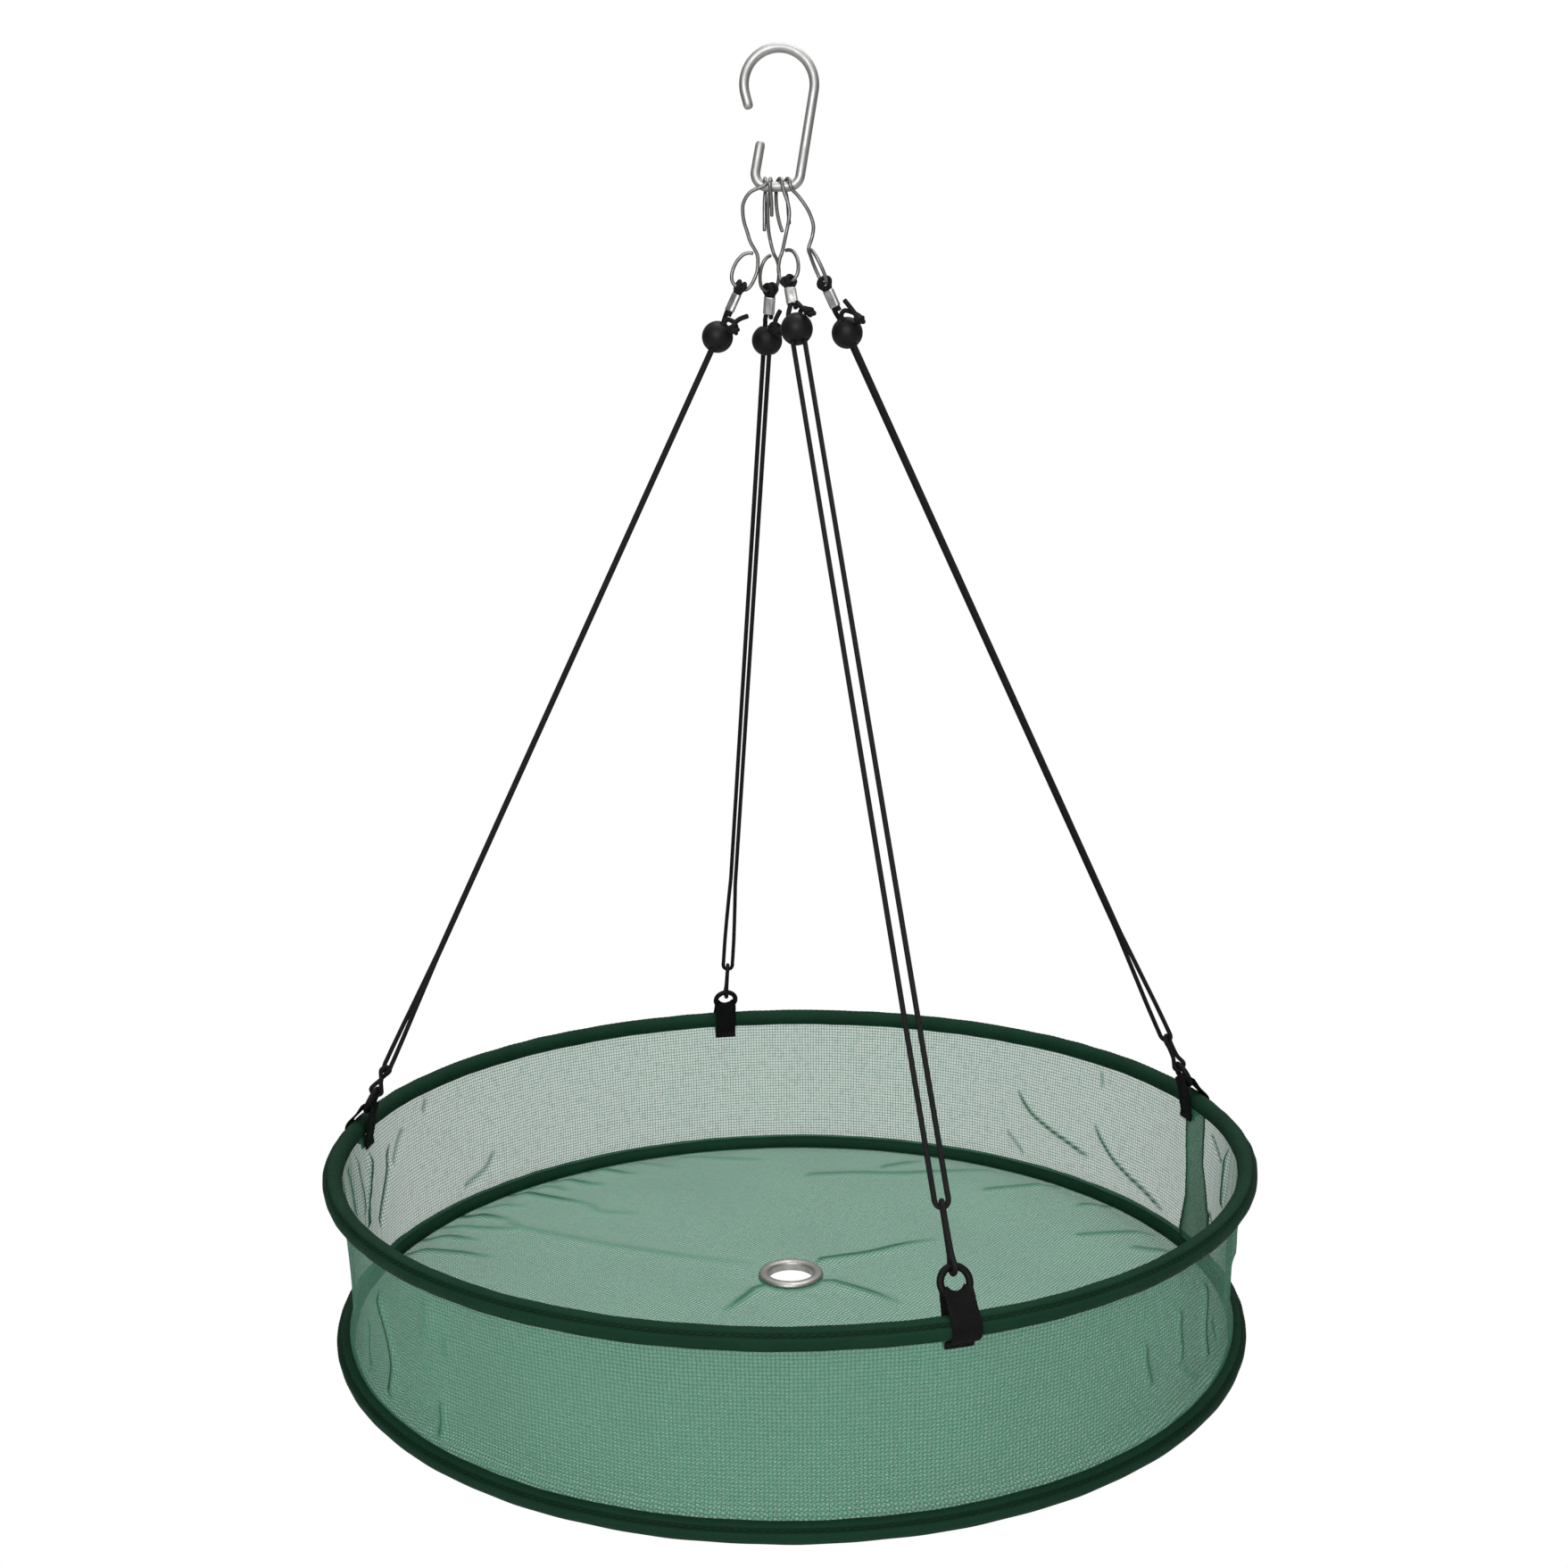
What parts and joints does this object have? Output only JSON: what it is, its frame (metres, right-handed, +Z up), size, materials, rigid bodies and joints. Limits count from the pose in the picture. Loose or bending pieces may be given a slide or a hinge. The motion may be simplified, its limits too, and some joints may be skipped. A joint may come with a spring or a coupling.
{
  "type": "hanging mesh seed tray",
  "caption": "Round net tray between two sprung hoops, hung on doubled cords with stop balls, wire clips and a hook, to catch seed under a bird feeder.",
  "frame": {"origin": "the hang point, at the top inside of the hook's large loop", "axes": "+Z up along the tray's axis, -Y towards the front webbing tab and the viewer, +X to the viewer's right"},
  "size_m": [0.4007, 0.4, 0.5358],
  "materials": {
    "hook_steel": "polished",
    "clip_steel": "polished",
    "sleeve_aluminium": "satin",
    "black_cord": "matte",
    "black_ball": "satin",
    "black_ring": "satin",
    "black_webbing": "matte",
    "hoop_steel": "satin",
    "ferrule_aluminium": "satin",
    "green_binding": "satin",
    "green_net": "open net",
    "eyelet_nickel": "polished"
  },
  "bodies": {
    "hook": {"hanging_hook": "hook_steel"},
    "rigging": {"snap_clip_front": "clip_steel", "snap_clip_right": "clip_steel", "snap_clip_back": "clip_steel", "snap_clip_left": "clip_steel", "crimp_sleeve_front": "sleeve_aluminium", "crimp_sleeve_right": "sleeve_aluminium", "crimp_sleeve_back": "sleeve_aluminium", "crimp_sleeve_left": "sleeve_aluminium", "cord_front": "black_cord", "cord_right": "black_cord", "cord_back": "black_cord", "cord_left": "black_cord", "cord_knot_front": "black_cord", "cord_knot_right": "black_cord", "cord_knot_back": "black_cord", "cord_knot_left": "black_cord", "link_loop_front": "black_cord", "link_loop_right": "black_cord", "link_loop_back": "black_cord", "link_loop_left": "black_cord", "tab_ring_front": "black_ring", "tab_ring_right": "black_ring", "tab_ring_back": "black_ring", "tab_ring_left": "black_ring", "rim_tab_front": "black_webbing", "rim_tab_right": "black_webbing", "rim_tab_back": "black_webbing", "rim_tab_left": "black_webbing", "upper_hoop_wire": "hoop_steel", "upper_hoop_ferrule": "ferrule_aluminium", "upper_binding": "green_binding", "side_mesh": "green_net", "side_seam": "green_net"},
    "tray_floor": {"lower_hoop_wire": "hoop_steel", "lower_hoop_ferrule": "ferrule_aluminium", "lower_binding": "green_binding", "floor_mesh": "green_net", "eyelet": "eyelet_nickel", "eyelet_washer": "eyelet_nickel"},
    "ball_front": {"stop_ball_front": "black_ball"},
    "ball_right": {"stop_ball_right": "black_ball"},
    "ball_back": {"stop_ball_back": "black_ball"},
    "ball_left": {"stop_ball_left": "black_ball"}
  },
  "joints": [
    {"name": "tray_sway", "type": "hinge", "parent": "hook", "child": "rigging", "pos_m": [-0.0009, 0, -0.0523], "axis": [1, 0, 0], "range_deg": [-25, 25]},
    {"name": "tray_collapse", "type": "slide", "parent": "rigging", "child": "tray_floor", "axis": [0, 0, 1], "range_m": [0, 0.05], "deforming": ["side_mesh", "side_seam"]},
    {"name": "ball_front_slide", "type": "slide", "parent": "rigging", "child": "ball_front", "axis": [0.1322, -0.4299, -0.8932], "range_m": [0, 0.27]},
    {"name": "ball_right_slide", "type": "slide", "parent": "rigging", "child": "ball_right", "axis": [0.4219, 0.1129, -0.8996], "range_m": [0, 0.27]},
    {"name": "ball_back_slide", "type": "slide", "parent": "rigging", "child": "ball_back", "axis": [-0.0744, 0.4401, -0.8949], "range_m": [0, 0.27]},
    {"name": "ball_left_slide", "type": "slide", "parent": "rigging", "child": "ball_left", "axis": [-0.4367, 0.0435, -0.8986], "range_m": [0, 0.27]}
  ]
}
